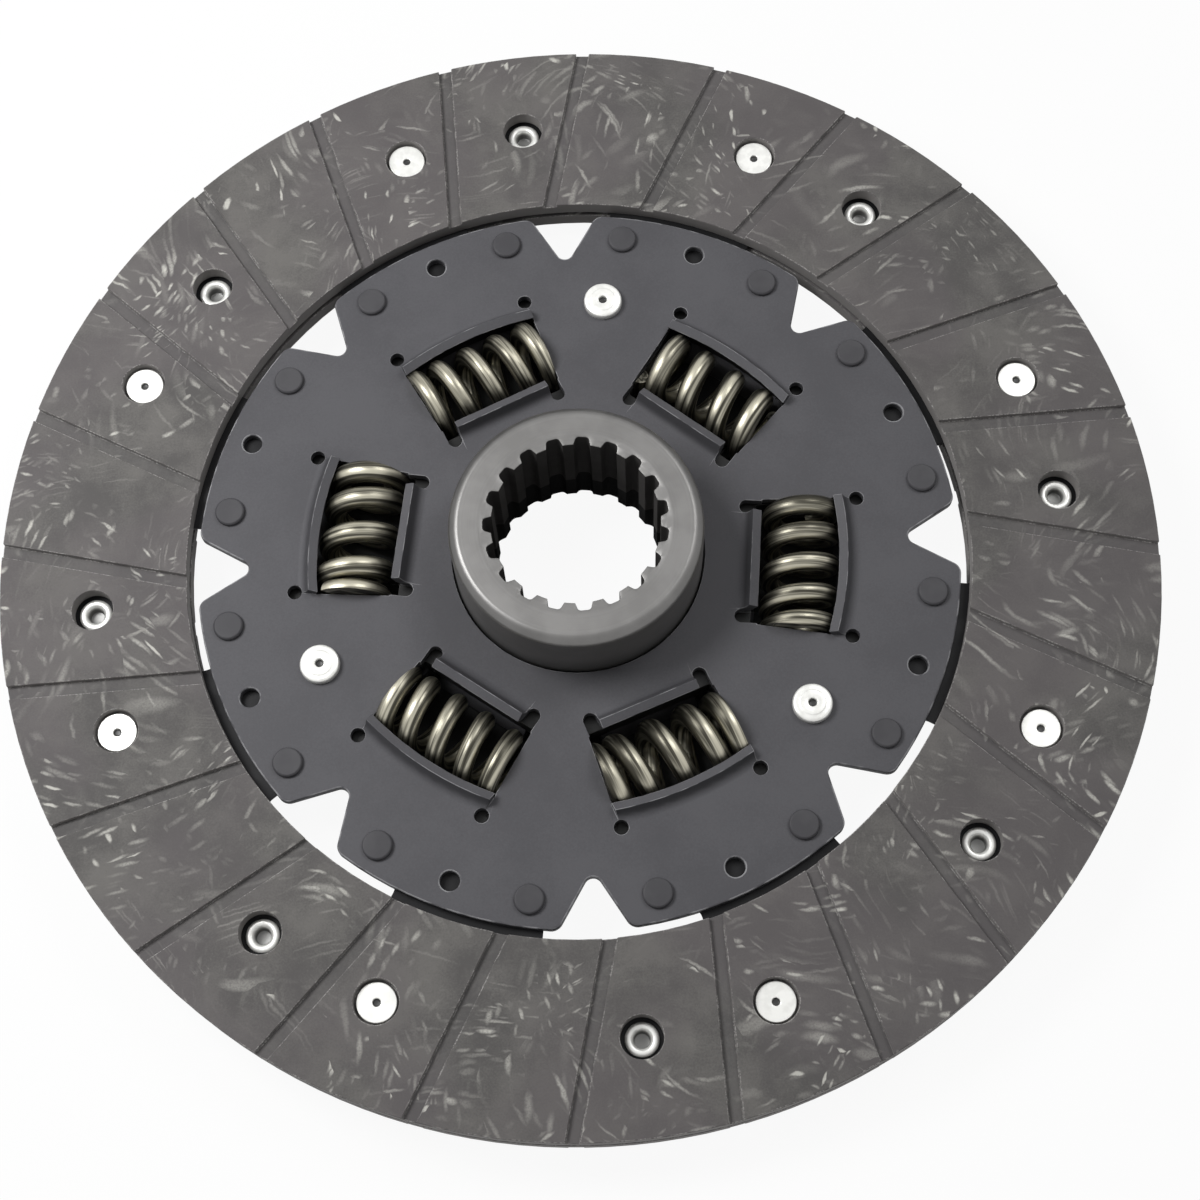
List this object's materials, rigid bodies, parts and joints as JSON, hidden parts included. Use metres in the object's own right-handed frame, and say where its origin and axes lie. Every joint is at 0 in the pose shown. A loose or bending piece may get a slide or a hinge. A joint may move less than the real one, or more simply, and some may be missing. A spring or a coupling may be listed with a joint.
{
  "type": "clutch disc",
  "caption": "Dry clutch disc: grooved friction rings on a riveted steel disc plate, coil damper springs in lipped windows, and a splined hub.",
  "frame": {"origin": "on the hub's axis, midway between the two friction faces", "axes": "+Z along the hub's axis, out of the long boss; +X through the middle of one rim notch of the disc plate"},
  "size_m": [0.24, 0.24, 0.0297],
  "materials": {
    "hub_steel": "machined satin",
    "plate_steel": "satin phosphate",
    "friction_lining": "matt, fibrous",
    "zinc_rivet": "bright zinc",
    "dark_rivet": "dark satin",
    "washer_plastic": "matt",
    "spring_sheet": "dark satin",
    "spring_wire": "oiled, bronze sheen"
  },
  "bodies": {
    "hub": {"hub": "hub_steel"},
    "disc": {"disc_plate": "plate_steel", "cover_plate": "plate_steel", "front_facing": "friction_lining", "rear_facing": "friction_lining", "front_facing_rivets": "zinc_rivet", "rear_facing_rivets": "zinc_rivet", "segment_rivets": "dark_rivet", "stop_pins": "zinc_rivet", "friction_washer_front": "washer_plastic", "friction_washer_rear": "washer_plastic", "cone_spring": "spring_sheet", "cushion_segment_1": "spring_sheet", "cushion_segment_2": "spring_sheet", "cushion_segment_3": "spring_sheet", "cushion_segment_4": "spring_sheet", "cushion_segment_5": "spring_sheet", "cushion_segment_6": "spring_sheet", "cushion_segment_7": "spring_sheet", "cushion_segment_8": "spring_sheet"},
    "damper_springs": {"damper_spring_1": "spring_wire", "damper_spring_2": "spring_wire", "damper_spring_3": "spring_wire", "damper_spring_4": "spring_wire", "damper_spring_5": "spring_wire", "damper_spring_6": "spring_wire"}
  },
  "joints": [
    {"name": "damper_twist", "type": "hinge", "parent": "hub", "child": "disc", "pos_m": [0, 0, 0], "axis": [0, 0, 1], "range_deg": [-7, 7], "stiffness_Nm_per_rad": 8, "deforming": ["damper_spring_1", "damper_spring_2", "damper_spring_3", "damper_spring_4", "damper_spring_5", "damper_spring_6"]},
    {"name": "spring_follow", "type": "hinge", "parent": "hub", "child": "damper_springs", "pos_m": [0, 0, 0], "axis": [0, 0, 1], "range_deg": [-3.6, 3.6]}
  ],
  "couplings": [
    {"joint": "spring_follow", "follows": "damper_twist", "ratio": 0.5}
  ]
}
